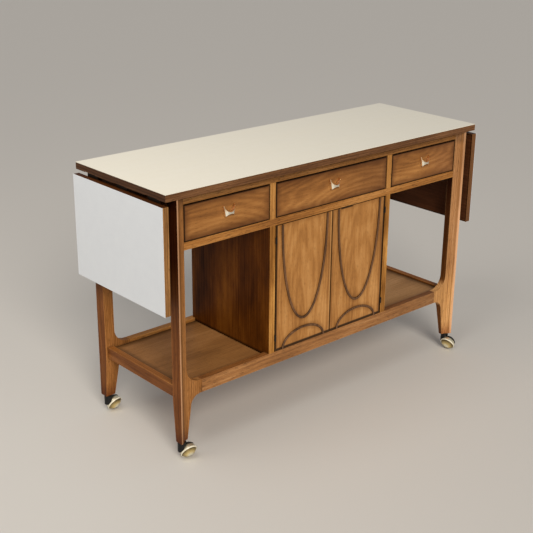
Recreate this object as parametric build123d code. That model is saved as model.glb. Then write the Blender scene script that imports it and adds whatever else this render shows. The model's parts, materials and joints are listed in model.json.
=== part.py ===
from build123d import *
import math
import os

# A drop-leaf bar cart. Millimetres, +Z up, front towards -Y.
# The origin is on the floor under the middle of the base frame.

# Overall
cart_height = 774.0
top_length = 1219.0
top_width = 412.0

# How far a cutter runs past the face it cuts
cut_margin = 1.0

# Top
top_core_thickness = 18.6
top_laminate_thickness = 1.4
top_lipping = 8.0
front_overhang = 19.7
back_overhang = 26.1
end_overhang = 37.0

# Legs
leg_width = 32.0
leg_proud = 16.0
leg_bead = 11.0
leg_bead_depth = 5.5
leg_cove_depth = 2.5
leg_bottom = 55.0
foot_back_taper = 10.0
foot_inner_taper = 0.5
upper_bracket_radius = 46.0
lower_bracket_radius = 32.0
lower_bracket_reach = 45.5
bracket_length = 52.5

# Rails and shelf
rail_thickness = 21.0
upper_rail_height = 23.0
middle_rail_height = 21.0
drawer_opening_height = 103.0
shelf_rail_top = 222.0
shelf_rail_height = 39.0
end_rail_height = 35.0
end_rail_thickness = 19.0
end_recess = 7.0
shelf_drop = 10.0
shelf_thickness = 12.0

# Case
case_bottom_thickness = 10.0
case_back_thickness = 18.0
case_back_recess = 3.0
divider_thickness = 20.0

# Cabinet and doors
cabinet_width = 488.0
cabinet_side_thickness = 20.0
cabinet_back_thickness = 8.0
cabinet_back_gap = 0.5
side_back_inset = 9.5
door_thickness = 19.0
door_gap = 2.5
door_side_gap = 4.5
door_bottom_gap = 1.5
door_edge_round = 3.0
groove_width = 6.5
groove_depth = 4.0
hanging_arch_margin = 21.5
hanging_arch_height = 302.0
standing_arch_margin = 27.0
standing_arch_height = 48.0
door_hinge_end_distance = 42.0
door_knuckle_radius = 2.6
door_knuckle_length = 9.0
door_hinge_plate = 0.8
door_hinge_plate_width = 15.0
door_hinge_pin_radius = 1.3
door_axis_proud = 1.2
catch_width = 48.0
catch_depth = 14.0
catch_height = 9.0
catch_offset = 20.0

# Drawers
drawer_side_gap = 3.0
drawer_top_gap = 4.0
drawer_bottom_gap = 2.2
drawer_front_thickness = 19.0
drawer_side_thickness = 12.0
drawer_side_inset = 8.0
drawer_side_height = 84.0
drawer_lift = 6.0
drawer_bottom_thickness = 5.0
drawer_bottom_rise = 8.0
drawer_back_clearance = 8.0
runner_clearance = 0.4
runner_width = 22.0
runner_fence = 5.0
runner_fence_height = 12.0

# Pulls
pull_half_width = 19.5
pull_height = 28.0
pull_rise = 7.0
pull_projection = 13.5
pull_side_projection = 3.0
pull_horn_width = 2.0
pull_foot_inset = 4.5
pull_foot_arch = 6.6
pull_neck = 5.0
pull_side_hollow = 0.4

# Leaves and their hinges
leaf_length = 294.0
leaf_core_thickness = 18.0
leaf_laminate_thickness = 1.2
leaf_lipping = 6.0
leaf_gap = 1.0
hinge_setback = 10.5
hinge_drop = 1.0
hinge_width = 50.0
hinge_inset = 43.0
hinge_knuckle_radius = 3.0
hinge_pin_radius = 1.25
fixed_plate_length = 26.0
fixed_plate_thickness = 1.8
moving_plate_length = 42.0
hinge_clearance = 0.5

# Folding leaf stays
stay_inset = 67.0
stay_pivot_inset = 8.0
stay_case_drop = 90.0
stay_leaf_drop = 118.0
stay_bar_width = 12.0
stay_bar_thickness = 2.5
stay_side_clearance = 0.5
stay_pin_radius = 2.5
stay_plate_thickness = 1.8
stay_plate_length = 40.0
stay_rivet_radius = 5.0
stay_rivet_height = 1.5

# Casters
ring_radius = 24.5
ring_width = 4.5
ring_depth = 2.5
ring_round = 1.0
dome_height = 10.0
wheel_tilt = 32.0
caster_trail = 17.5
caster_side_offset = 7.5
hood_radius = 23.5
hood_wall = 2.0
hood_gap = 0.6
cap_wall = 2.5
cap_start = 14.5
neck_radius = 12.0
neck_rise = 4.0
neck_gap = 0.5
stem_radius = 3.5
stem_length = 34.0
socket_radius = 5.0
socket_length = 38.0
socket_outer_wall = 7.5
socket_back_wall = 4.0
axle_radius = 3.0
axle_reach = 6.0
hub_radius = 6.5
running_clearance = 0.05
seat_clearance = 0.1
swivel_angles = {"front_left": -6.0, "front_right": -79.0, "back_left": 9.5, "back_right": 35.0}

# Derived levels
top_thickness = top_core_thickness + top_laminate_thickness
underside = cart_height - top_thickness
upper_rail_bottom = underside - upper_rail_height
middle_rail_top = upper_rail_bottom - drawer_opening_height
case_underside = middle_rail_top - middle_rail_height
shelf_rail_bottom = shelf_rail_top - shelf_rail_height
shelf_top = shelf_rail_top - shelf_drop
case_floor = case_underside + case_bottom_thickness

# Derived plan positions
top_half = top_length / 2
face_y = (top_width - front_overhang - back_overhang) / 2
inner_y = face_y - rail_thickness
top_front = -(face_y + front_overhang)
top_back = face_y + back_overhang
leg_outer = top_half - end_overhang
leg_inner = leg_outer - leg_width
joint_x = leg_inner - bracket_length
end_face = leg_outer - end_recess
end_inner = end_face - end_rail_thickness
cabinet_half = cabinet_width / 2
cabinet_inner = cabinet_half - cabinet_side_thickness
divider_inner = cabinet_half - divider_thickness

nodes = {}


def add_node(name, *shapes):
    """Keep every solid of the given shapes under one node name."""
    nodes[name] = [solid for shape in shapes for solid in shape.solids()]


def block(x, y, z):
    """A box from (low, high) pairs along X, Y and Z."""
    size = [pair[1] - pair[0] for pair in (x, y, z)]
    middle = [(pair[0] + pair[1]) / 2 for pair in (x, y, z)]
    return Pos(*middle) * Box(*size)


def flip_x(shape):
    """The mirror image at the other end of the cart."""
    return mirror(shape, about=Plane.YZ)


def flip_y(shape):
    """The mirror image at the other face of the cart."""
    return mirror(shape, about=Plane.XZ)


def rod_y(x, z, radius, y):
    """A round bar along Y between two Y values."""
    bar = Cylinder(radius, y[1] - y[0])
    return Pos(x, (y[0] + y[1]) / 2, z) * Rot(90, 0, 0) * bar


def rod_z(x, y, radius, z):
    """A round bar along Z between two heights."""
    return Pos(x, y, (z[0] + z[1]) / 2) * Cylinder(radius, z[1] - z[0])


def edged_panel(length, width, core, lipping):
    """A board lying on Z = 0 and the four mitred lippings round it."""
    board = Pos(0, 0, core / 2) * Box(length - 2 * lipping, width - 2 * lipping, core)
    half_x = length / 2
    half_y = width / 2
    long_strip = make_face(Polyline(
        (-half_x, -half_y),
        (half_x, -half_y),
        (half_x - lipping, -half_y + lipping),
        (-half_x + lipping, -half_y + lipping),
        close=True,
    ))
    short_strip = make_face(Polyline(
        (half_x, -half_y),
        (half_x, half_y),
        (half_x - lipping, half_y - lipping),
        (half_x - lipping, -half_y + lipping),
        close=True,
    ))
    front = extrude(long_strip, core)
    side = extrude(short_strip, core)
    return board, [front, flip_y(front), side, flip_x(side)]


# The right front leg: plan section with a coved front, and a sculpted front elevation.

def leg_plan_section():
    """Section of the post: a bead at the outer edge runs into a cove on the inner side."""
    arris = (leg_outer, -(face_y + leg_proud))
    bead_end = (leg_outer - leg_bead, -(face_y + leg_proud - leg_bead_depth))
    inner_front = (leg_inner, -face_y)
    chord_x = inner_front[0] - bead_end[0]
    chord_y = inner_front[1] - bead_end[1]
    chord = math.hypot(chord_x, chord_y)
    cove_middle = (
        (bead_end[0] + inner_front[0]) / 2 + leg_cove_depth * chord_y / chord,
        (bead_end[1] + inner_front[1]) / 2 - leg_cove_depth * chord_x / chord,
    )
    straight = Polyline(inner_front, (leg_inner, -inner_y), (leg_outer, -inner_y), arris, bead_end)
    return make_face(straight + ThreePointArc(bead_end, cove_middle, inner_front))


def leg_elevation():
    """Front elevation of the leg with its curved brackets above and below the shelf rail."""
    foot_inner = leg_inner + foot_inner_taper
    arc_x = leg_inner - lower_bracket_reach
    arc_z = shelf_rail_bottom - lower_bracket_radius
    to_foot = math.hypot(foot_inner - arc_x, leg_bottom - arc_z)
    turn = math.atan2(leg_bottom - arc_z, foot_inner - arc_x)
    touch = turn + math.acos(lower_bracket_radius / to_foot)
    half_turn = (touch + math.pi / 2) / 2
    touch_point = (
        arc_x + lower_bracket_radius * math.cos(touch),
        arc_z + lower_bracket_radius * math.sin(touch),
    )
    arc_middle = (
        arc_x + lower_bracket_radius * math.cos(half_turn),
        arc_z + lower_bracket_radius * math.sin(half_turn),
    )
    arc_start = (arc_x, shelf_rail_bottom)
    upper_x = leg_inner - upper_bracket_radius
    upper_z = shelf_rail_top + upper_bracket_radius
    upper_middle = (
        upper_x + upper_bracket_radius * math.cos(math.radians(45)),
        upper_z - upper_bracket_radius * math.sin(math.radians(45)),
    )
    lower_arc = ThreePointArc(arc_start, arc_middle, touch_point)
    upper_arc = ThreePointArc((leg_inner, upper_z), upper_middle, (upper_x, shelf_rail_top))
    outside = Polyline(
        touch_point,
        (foot_inner, leg_bottom),
        (leg_outer, leg_bottom),
        (leg_outer, underside),
        (leg_inner, underside),
        (leg_inner, upper_z),
    )
    joint = Polyline((upper_x, shelf_rail_top), (joint_x, shelf_rail_top), (joint_x, shelf_rail_bottom), arc_start)
    return Plane.XZ * make_face(outside + upper_arc + joint + lower_arc)


def leg_side_view():
    """Side elevation: straight in front, with the foot drawn in at the back."""
    front = -(face_y + leg_proud)
    return Plane.YZ * make_face(Polyline(
        (front, leg_bottom),
        (front, underside),
        (-inner_y, underside),
        (-inner_y, shelf_rail_bottom),
        (-inner_y - foot_back_taper, leg_bottom),
        close=True,
    ))


def socket_centre():
    """Where the caster's socket stands in the right front foot, clear of its cove."""
    x = leg_outer - socket_outer_wall - socket_radius
    y = -(inner_y + foot_back_taper + socket_back_wall + socket_radius)
    return x, y


def front_right_leg():
    """Post, brackets and foot in one piece, bored for the caster socket."""
    depth = 2 * (face_y + leg_proud)
    elevation = extrude(leg_elevation(), depth, both=True)
    post = extrude(leg_plan_section(), cart_height)
    slab = block((joint_x, leg_inner), (-face_y, -inner_y), (leg_bottom, underside))
    side = extrude(leg_side_view(), 2 * leg_outer, both=True)
    x, y = socket_centre()
    bore = rod_z(x, y, socket_radius, (leg_bottom - cut_margin, leg_bottom + socket_length))
    return ((post + slab) & elevation & side) - bore


def make_legs():
    leg = front_right_leg()
    add_node("front_right_leg", leg)
    add_node("front_left_leg", flip_x(leg))
    add_node("back_right_leg", flip_y(leg))
    add_node("back_left_leg", flip_x(flip_y(leg)))


def make_shelf():
    """The lower frame of four rails and the shelf let in below their tops."""
    rail = block((-joint_x, joint_x), (-face_y, -inner_y), (shelf_rail_bottom, shelf_rail_top))
    end_rail_top = shelf_rail_bottom + end_rail_height
    end_rail = block((end_inner, end_face), (-inner_y, inner_y), (shelf_rail_bottom, end_rail_top))
    add_node("front_shelf_rail", rail)
    add_node("back_shelf_rail", flip_y(rail))
    add_node("shelf_end_rails", end_rail, flip_x(end_rail))
    shelf = block((-end_inner, end_inner), (-inner_y, inner_y), (shelf_top - shelf_thickness, shelf_top))
    add_node("shelf_panel", shelf)


def make_case():
    """The drawer case between the legs, under the top."""
    front = (-face_y, -inner_y)
    across = (-leg_inner, leg_inner)
    back = (face_y - case_back_recess - case_back_thickness, face_y - case_back_recess)
    upper_rail = block(across, front, (upper_rail_bottom, underside))
    middle_rail = block(across, front, (case_underside, middle_rail_top))
    add_node("case_front_rails", upper_rail, middle_rail)
    add_node("case_back", block(across, back, (case_underside, underside)))
    end_panel = block((end_inner, end_face), (-inner_y, inner_y), (case_underside, underside))
    add_node("case_end_panels", end_panel, flip_x(end_panel))
    add_node("case_bottom", block((-end_inner, end_inner), (-inner_y, back[0]), (case_underside, case_floor)))
    stile = block((divider_inner, cabinet_half), front, (middle_rail_top, upper_rail_bottom))
    board = block((divider_inner, cabinet_half), (-inner_y, back[0]), (case_floor, underside))
    divider = stile + board
    add_node("drawer_dividers", divider, flip_x(divider))


def make_cabinet():
    """Sides and back of the centre cabinet, standing on the shelf."""
    side_back = face_y - side_back_inset
    side = block((cabinet_inner, cabinet_half), (-face_y, side_back), (shelf_top, case_underside))
    side -= block((cabinet_inner, cabinet_half), (-face_y, -inner_y), (shelf_top, shelf_rail_top))
    side -= block((cabinet_inner, cabinet_half), (inner_y, side_back), (shelf_top, shelf_rail_top))
    for gain in door_knuckle_gains():
        side -= gain
    add_node("cabinet_sides", side, flip_x(side))
    back_face = inner_y - cabinet_back_gap
    back = (back_face - cabinet_back_thickness, back_face)
    add_node("cabinet_back", block((-cabinet_inner, cabinet_inner), back, (shelf_top, case_underside)))


door_bottom = shelf_rail_top + door_bottom_gap
door_top = case_underside - door_gap
door_outer = cabinet_inner - door_side_gap
door_inner = door_gap / 2
door_axis_x = cabinet_inner - door_side_gap / 2
door_axis_y = -(face_y + door_axis_proud)


def half_ring(x, z, radius_x, radius_z):
    """A groove cutter along an ellipse centred on a door's top or bottom edge."""
    outer = Ellipse(radius_x + groove_width / 2, radius_z + groove_width / 2)
    inner = Ellipse(radius_x - groove_width / 2, radius_z - groove_width / 2)
    band = Plane.XZ * Pos(x, z) * (outer - inner)
    return extrude(Pos(0, -face_y, 0) * band, groove_depth, both=True)


def right_door():
    """A slab door with a hanging arch and a low standing arch routed in its face."""
    width = door_outer - door_inner
    middle = (door_outer + door_inner) / 2
    slab = block((door_inner, door_outer), (-face_y, -face_y + door_thickness), (door_bottom, door_top))
    meeting_edge = slab.edges().filter_by(Axis.Z).sort_by(Axis.X)[:2].sort_by(Axis.Y)[0]
    slab = fillet(meeting_edge, door_edge_round)
    slab -= half_ring(middle, door_top, width / 2 - hanging_arch_margin, hanging_arch_height)
    slab -= half_ring(middle, door_bottom, width / 2 - standing_arch_margin, standing_arch_height)
    for gain in door_knuckle_gains():
        slab -= gain
    return slab


def door_hinge_levels():
    """Lower end of each hinge on a door."""
    return [
        door_bottom + door_hinge_end_distance - door_knuckle_length,
        door_top - door_hinge_end_distance - door_knuckle_length,
    ]


def door_knuckle_gains():
    """Room for the right door's knuckles in the edges of the door and the cabinet side."""
    radius = door_knuckle_radius + hinge_clearance
    length = 2 * door_knuckle_length + hinge_clearance
    return [rod_z(door_axis_x, door_axis_y, radius, (low - hinge_clearance, low + length))
            for low in door_hinge_levels()]


def door_hinge_pair(low):
    """Case half with its pin, and door half, of one small barrel hinge on the right door."""
    split = low + door_knuckle_length
    high = split + door_knuckle_length
    plate_y = (door_axis_y, door_axis_y + door_hinge_plate_width)
    case_plate = block((cabinet_inner - door_hinge_plate, cabinet_inner), plate_y, (low, split))
    case_half = case_plate + rod_z(door_axis_x, door_axis_y, door_knuckle_radius, (low, split))
    pin_top = high - door_hinge_plate
    case_half += rod_z(door_axis_x, door_axis_y, door_hinge_pin_radius, (low, pin_top))
    free_split = split + seat_clearance
    door_plate = block((door_outer, door_outer + door_hinge_plate), plate_y, (free_split, high))
    door_half = door_plate + rod_z(door_axis_x, door_axis_y, door_knuckle_radius, (free_split, high))
    bore = rod_z(door_axis_x, door_axis_y, door_hinge_pin_radius + running_clearance, (low, pin_top + seat_clearance))
    return case_half, door_half - bore


def make_doors():
    door = right_door()
    add_node("right_door", door)
    add_node("left_door", flip_x(door))
    pairs = [door_hinge_pair(low) for low in door_hinge_levels()]
    case_halves = [case_half for case_half, door_half in pairs]
    door_halves = [door_half for case_half, door_half in pairs]
    add_node("door_hinges_case_half", *case_halves, *[flip_x(half) for half in case_halves])
    add_node("right_door_hinge_halves", *door_halves)
    add_node("left_door_hinge_halves", *[flip_x(half) for half in door_halves])
    catch_y = (-face_y + door_thickness + seat_clearance, -face_y + door_thickness + catch_depth)
    catch = block((catch_offset, catch_offset + catch_width), catch_y, (case_underside - catch_height, case_underside))
    add_node("door_catches", catch, flip_x(catch))


# Drawers

drawer_bays = {
    "left": (-leg_inner, -cabinet_half),
    "middle": (-divider_inner, divider_inner),
    "right": (cabinet_half, leg_inner),
}
box_bottom = middle_rail_top + drawer_lift
box_front = -face_y + drawer_front_thickness
box_back = face_y - case_back_recess - case_back_thickness - drawer_back_clearance


def drawer_front(bay):
    x = (bay[0] + drawer_side_gap, bay[1] - drawer_side_gap)
    z = (middle_rail_top + drawer_bottom_gap, upper_rail_bottom - drawer_top_gap)
    return block(x, (-face_y, box_front), z)


def drawer_box_sides(bay):
    """Outer faces of the box in X."""
    inset = drawer_side_gap + drawer_side_inset
    return bay[0] + inset, bay[1] - inset


def drawer_box(bay):
    """Two sides, a back between them and a thin bottom."""
    left, right = drawer_box_sides(bay)
    z = (box_bottom, box_bottom + drawer_side_height)
    y = (box_front, box_back)
    inner = (left + drawer_side_thickness, right - drawer_side_thickness)
    left_side = block((left, inner[0]), y, z)
    right_side = block((inner[1], right), y, z)
    back_y = (box_back - drawer_side_thickness, box_back)
    back = block(inner, back_y, z)
    floor_z = box_bottom + drawer_bottom_rise
    floor = block(inner, (box_front, back_y[0]), (floor_z, floor_z + drawer_bottom_thickness))
    return left_side, right_side, back, floor


def runner(edge, side):
    """A wooden runner under a drawer side, with a fence outside it. side is -1 or 1."""
    top = box_bottom - runner_clearance
    fence = edge + side * runner_clearance
    profile = make_face(Polyline(
        (edge - side * (runner_width - runner_fence), case_floor),
        (fence + side * runner_fence, case_floor),
        (fence + side * runner_fence, top + runner_fence_height),
        (fence, top + runner_fence_height),
        (fence, top),
        (edge - side * (runner_width - runner_fence), top),
        close=True,
    ))
    length = box_back + drawer_back_clearance + inner_y
    return extrude(Pos(0, box_back + drawer_back_clearance, 0) * (Plane.XZ * profile), length)


def pull(x):
    """A cast pull: a bulging plate that dips between two horns at its top and is arched at its foot."""
    z = (middle_rail_top + upper_rail_bottom) / 2 + pull_rise
    top = pull_height / 2
    horn = pull_half_width - pull_horn_width
    foot = pull_half_width - pull_foot_inset
    waist = (pull_half_width + foot) / 2 - pull_side_hollow
    arch_top = pull_foot_arch - top
    dip = ThreePointArc((-horn, top), (0, arch_top + pull_neck), (horn, top))
    right = ThreePointArc((pull_half_width, top), (waist, 0), (foot, -top))
    arch = ThreePointArc((foot, -top), (0, arch_top), (-foot, -top))
    left = ThreePointArc((-foot, -top), (-waist, 0), (-pull_half_width, top))
    horn_tops = Line((horn, top), (pull_half_width, top)) + Line((-pull_half_width, top), (-horn, top))
    front_view = make_face(dip + horn_tops + right + arch + left)
    front = ThreePointArc((-pull_half_width, -pull_side_projection), (0, -pull_projection),
                          (pull_half_width, -pull_side_projection))
    back = Polyline(
        (pull_half_width, -pull_side_projection),
        (pull_half_width, 0),
        (-pull_half_width, 0),
        (-pull_half_width, -pull_side_projection),
    )
    bulge = extrude(make_face(front + back), pull_height, both=True)
    return Pos(x, -face_y, z) * (extrude(Plane.XZ * front_view, pull_projection) & bulge)


def make_drawers():
    runners = []
    for name, bay in drawer_bays.items():
        add_node(f"{name}_drawer_front", drawer_front(bay))
        add_node(f"{name}_drawer_box", *drawer_box(bay))
        add_node(f"{name}_drawer_pull", pull((bay[0] + bay[1]) / 2))
        left, right = drawer_box_sides(bay)
        runners += [runner(left, -1), runner(right, 1)]
    add_node("drawer_runners", *runners)


# Top and leaves

hinge_x = top_half - hinge_setback
hinge_z = underside - hinge_drop
leaf_thickness = leaf_core_thickness + leaf_laminate_thickness
leaf_outer = hinge_x + cart_height - hinge_z
leaf_inner = leaf_outer - leaf_thickness
leaf_top = hinge_z - (top_half + leaf_gap - hinge_x)
hinge_rows = [-(face_y - hinge_inset), 0.0, face_y - hinge_inset]


def hinge_gain(y):
    """Space let into the underside of the top for one hinge at the right end."""
    half = hinge_width / 2 + hinge_clearance
    radius = hinge_knuckle_radius + hinge_clearance
    knuckle = rod_y(hinge_x, hinge_z, radius, (y - half, y + half))
    plate_top = hinge_z + leaf_inner - hinge_x + hinge_clearance
    slot = block((hinge_x, top_half + leaf_gap), (y - half, y + half), (underside - leaf_gap, plate_top))
    return knuckle + slot


def make_top():
    board, strips = edged_panel(top_length, top_width, top_core_thickness, top_lipping)
    place = Pos(0, (top_front + top_back) / 2, underside)
    gains = [hinge_gain(y) for y in hinge_rows]
    gains += [flip_x(gain) for gain in gains]
    board = place * board
    strips = [place * strip for strip in strips]
    for gain in gains:
        board -= gain
        strips = [strip - gain for strip in strips]
    add_node("top_core", board)
    add_node("top_lippings", *strips)
    laminate = block((-top_half, top_half), (top_front, top_back), (cart_height - top_laminate_thickness, cart_height))
    add_node("top_laminate", laminate)


def right_leaf():
    """Board, lippings and laminate of the leaf hanging at the right end."""
    board, strips = edged_panel(leaf_length, top_width, leaf_core_thickness, leaf_lipping)
    place = Pos(leaf_inner, (top_front + top_back) / 2, leaf_top - leaf_length / 2) * Rot(0, 90, 0)
    face = (leaf_outer - leaf_laminate_thickness, leaf_outer)
    laminate = block(face, (top_front, top_back), (leaf_top - leaf_length, leaf_top))
    return place * board, [place * strip for strip in strips], laminate


def leaf_hinge(y):
    """Fixed half with its pin, and moving half, of one butt hinge at the right end."""
    half = hinge_width / 2
    third = hinge_width / 3
    middle = (y - third / 2, y + third / 2)
    free_middle = (middle[0] - seat_clearance, middle[1] + seat_clearance)
    barrel = rod_y(hinge_x, hinge_z, hinge_knuckle_radius, (y - half, y + half))
    moving_barrel = rod_y(hinge_x, hinge_z, hinge_knuckle_radius, middle)
    radius = hinge_knuckle_radius + hinge_clearance
    clear_middle = rod_y(hinge_x, hinge_z, radius, free_middle)
    fixed_plate = block((hinge_x - fixed_plate_length, hinge_x), (y - half, y + half),
                        (underside - fixed_plate_thickness, underside))
    pin = rod_y(hinge_x, hinge_z, hinge_pin_radius, (y - half, y + half))
    fixed = (fixed_plate + barrel) - clear_middle + pin
    bore = rod_y(hinge_x, hinge_z, hinge_pin_radius + running_clearance, (y - half, y + half))
    moving_plate = block((hinge_x, leaf_inner), (y - half, y + half), (hinge_z - moving_plate_length, hinge_z))
    for end in (-1, 1):
        outer = sorted([y + end * (third / 2 - seat_clearance), y + end * (half + hinge_clearance)])
        moving_plate -= rod_y(hinge_x, hinge_z, radius, outer)
    moving = (moving_plate + moving_barrel) - bore
    return fixed, moving


# Folding stays: two flat bars on each side of a leaf, straight when the leaf is up.

stay_x = hinge_x - stay_pivot_inset
stay_case_z = hinge_z - stay_case_drop
stay_leaf_z = hinge_z - stay_leaf_drop
stay_open_x = hinge_x + stay_leaf_drop
stay_open_z = hinge_z - stay_pivot_inset
stay_open_length = math.hypot(stay_open_x - stay_x, stay_open_z - stay_case_z)
stay_folded_length = stay_leaf_drop - stay_case_drop
lower_arm_length = (stay_open_length + stay_folded_length) / 2
upper_arm_length = (stay_open_length - stay_folded_length) / 2
elbow_z = stay_case_z - lower_arm_length
lower_arm_turn = 90 + math.degrees(math.atan2(stay_open_z - stay_case_z, stay_open_x - stay_x))
upper_arm_turn = lower_arm_turn + 90 - 360


def stay_bar(high, low, y):
    """A flat bar with round ends, hanging between two pivots."""
    half = stay_bar_width / 2
    bar = block((stay_x - half, stay_x + half), y, (low, high))
    return bar + rod_y(stay_x, high, half, y) + rod_y(stay_x, low, half, y)


def stay_planes():
    """Y spans of the case ear, lower bar, upper bar and leaf ear on the back side."""
    spans = []
    start = inner_y - stay_inset
    for _ in range(4):
        spans.append((start, start + stay_bar_thickness))
        start += stay_bar_thickness + stay_side_clearance
    return spans


def stay_case_bracket():
    """Angle bracket on the end panel with the lower pivot's pin."""
    ear_y, bar_y = stay_planes()[:2]
    half = stay_bar_width / 2
    z = (stay_case_z - half, stay_case_z + half)
    ear = block((end_face, stay_x), ear_y, z) + rod_y(stay_x, stay_case_z, half, ear_y)
    plate_y = (ear_y[0] - stay_bar_width, ear_y[1])
    plate_z = (stay_case_z - stay_plate_length / 2, stay_case_z + stay_plate_length / 2)
    plate = block((end_face, end_face + stay_plate_thickness), plate_y, plate_z)
    return ear + plate + rod_y(stay_x, stay_case_z, stay_pin_radius, (ear_y[0], bar_y[1]))


def stay_leaf_bracket():
    """Angle bracket on the leaf with the upper pivot's pin."""
    bar_y, ear_y = stay_planes()[2:]
    half = stay_bar_width / 2
    z = (stay_leaf_z - half, stay_leaf_z + half)
    ear = block((stay_x, leaf_inner), ear_y, z) + rod_y(stay_x, stay_leaf_z, half, ear_y)
    plate_y = (ear_y[0], ear_y[1] + stay_bar_width)
    plate_z = (stay_leaf_z - stay_plate_length / 2, stay_leaf_z + stay_plate_length / 2)
    plate = block((leaf_inner - stay_plate_thickness, leaf_inner), plate_y, plate_z)
    return ear + plate + rod_y(stay_x, stay_leaf_z, stay_pin_radius, (bar_y[0], ear_y[1]))


def stay_lower_arm():
    """Bar from the case pivot down to the elbow, with the elbow's rivet head."""
    y = stay_planes()[1]
    bar = stay_bar(stay_case_z, elbow_z, y)
    head = rod_y(stay_x, elbow_z, stay_rivet_radius, (y[0] - stay_rivet_height, y[0]))
    return bar + head - rod_y(stay_x, stay_case_z, stay_pin_radius + running_clearance, y)


def stay_upper_arm():
    """Bar from the leaf pivot down to the elbow, with the elbow's rivet head."""
    y = stay_planes()[2]
    bar = stay_bar(stay_leaf_z, elbow_z, y)
    head = rod_y(stay_x, elbow_z, stay_rivet_radius, (y[1], y[1] + stay_rivet_height))
    return bar + head - rod_y(stay_x, stay_leaf_z, stay_pin_radius + running_clearance, y)


def make_leaves():
    board, strips, laminate = right_leaf()
    hinges = [leaf_hinge(y) for y in hinge_rows]
    fixed = [pair[0] for pair in hinges]
    moving = [pair[1] for pair in hinges]
    case_bracket = stay_case_bracket()
    leaf_bracket = stay_leaf_bracket()
    fixed += [case_bracket, flip_y(case_bracket)]
    moving += [leaf_bracket, flip_y(leaf_bracket)]
    lower_arm = stay_lower_arm()
    upper_arm = stay_upper_arm()
    add_node("leaf_hardware_on_case", *fixed, *[flip_x(piece) for piece in fixed])
    for side, place in (("right", lambda shape: shape), ("left", flip_x)):
        add_node(f"{side}_leaf_board", place(board))
        add_node(f"{side}_leaf_lippings", *[place(strip) for strip in strips])
        add_node(f"{side}_leaf_laminate", place(laminate))
        add_node(f"{side}_leaf_hardware", *[place(piece) for piece in moving])
        add_node(f"{side}_stay_lower_arms", place(lower_arm), place(flip_y(lower_arm)))
        add_node(f"{side}_stay_upper_arms", place(upper_arm), place(flip_y(upper_arm)))


# Ball casters, first made with the stem on the Z axis and the wheel's dome facing -Y and down.

tilt = math.radians(wheel_tilt)
ring_front = ring_width / 2
ring_back = -ring_width / 2
hood_edge = ring_back - hood_gap
ball_height = (ring_radius - ring_round) * math.cos(tilt) + (ring_front - ring_round) * math.sin(tilt) + ring_round
ball_centre = (caster_trail, -caster_side_offset, ball_height)
wheel_frame = Pos(*ball_centre) * Rot(90 + wheel_tilt, 0, 0)


def behind_wheel(radius, front):
    """Everything near the ball that lies further back along the axle than a plane."""
    size = 4 * radius
    return Pos(0, 0, front - size / 2) * Box(size, size, size)


def on_axis(radius, low, high):
    """A round bar along the wheel's axle."""
    return Pos(0, 0, (low + high) / 2) * Cylinder(radius, high - low)


def caster_wheel():
    """Shallow brass dome turned in one piece with the disc that carries it."""
    rim = ring_radius - ring_depth
    bore = axle_radius + running_clearance
    bore_end = axle_reach + seat_clearance
    dome_radius = (rim ** 2 + dome_height ** 2) / (2 * dome_height)
    half_turn = math.asin(rim / dome_radius) / 2
    centre = ring_front + dome_height - dome_radius
    middle = (dome_radius * math.sin(half_turn), centre + dome_radius * math.cos(half_turn))
    dome = ThreePointArc((rim, ring_front), middle, (0, ring_front + dome_height))
    rest = Polyline(
        (0, ring_front + dome_height),
        (0, bore_end),
        (bore, bore_end),
        (bore, ring_back),
        (rim, ring_back),
        (rim, ring_front),
    )
    return revolve(Plane.XZ * make_face(dome + rest), Axis.Z)


def caster_ring():
    """Bright tread round the wheel, which it rolls on."""
    rim = ring_radius - ring_depth
    section = Pos((rim + ring_radius) / 2, 0) * Rectangle(ring_depth, ring_width)
    outer_corners = section.vertices().sort_by(Axis.X)[2:]
    return revolve(Plane.XZ * fillet(outer_corners, ring_round), Axis.Z)


def caster_hood():
    """Hollow half-ball behind the wheel, with the axle boss and the axle."""
    shell = Sphere(hood_radius) - Sphere(hood_radius - hood_wall)
    boss = on_axis(hub_radius, -hood_radius, hood_edge) & Sphere(hood_radius - hood_wall / 2)
    axle = on_axis(axle_radius, hood_edge - cut_margin, axle_reach)
    return ((shell + boss) & behind_wheel(hood_radius, hood_edge)) + axle


def caster_cap():
    """Dark cap over the hood's back."""
    inner = hood_radius + seat_clearance
    return (Sphere(inner + cap_wall) - Sphere(inner)) & behind_wheel(hood_radius + cap_wall, -cap_start)


def caster_stem():
    """Neck that hugs the ball's back, and the stem that turns in the leg's socket."""
    neck_top = leg_bottom - neck_gap
    neck = rod_z(0, 0, neck_radius, (ball_height + neck_rise, neck_top))
    neck &= wheel_frame * behind_wheel(hood_radius + cap_wall, hood_edge)
    neck -= Pos(*ball_centre) * Sphere(hood_radius + seat_clearance)
    return neck + rod_z(0, 0, stem_radius, (neck_top - cut_margin, leg_bottom + stem_length))


def make_casters():
    foot_x, foot_y = socket_centre()
    stem = wheel_frame * caster_cap() + caster_stem()
    pieces = {
        "stem": stem,
        "hood": wheel_frame * caster_hood(),
        "wheel": wheel_frame * caster_wheel(),
        "ring": wheel_frame * caster_ring(),
    }
    sockets = []
    for corner, angle in swivel_angles.items():
        x = foot_x if "right" in corner else -foot_x
        y = foot_y if "front" in corner else -foot_y
        place = Pos(x, y, 0) * Rot(0, 0, angle)
        add_node(f"{corner}_caster_stem", place * pieces["stem"])
        add_node(f"{corner}_caster_hood", place * pieces["hood"])
        add_node(f"{corner}_caster_wheel", place * pieces["wheel"], place * pieces["ring"])
        sleeve = rod_z(x, y, socket_radius, (leg_bottom, leg_bottom + socket_length))
        sockets.append(sleeve - rod_z(x, y, stem_radius + running_clearance,
                                      (leg_bottom - cut_margin, leg_bottom + stem_length + seat_clearance)))
    add_node("caster_sockets", *sockets)


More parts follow.
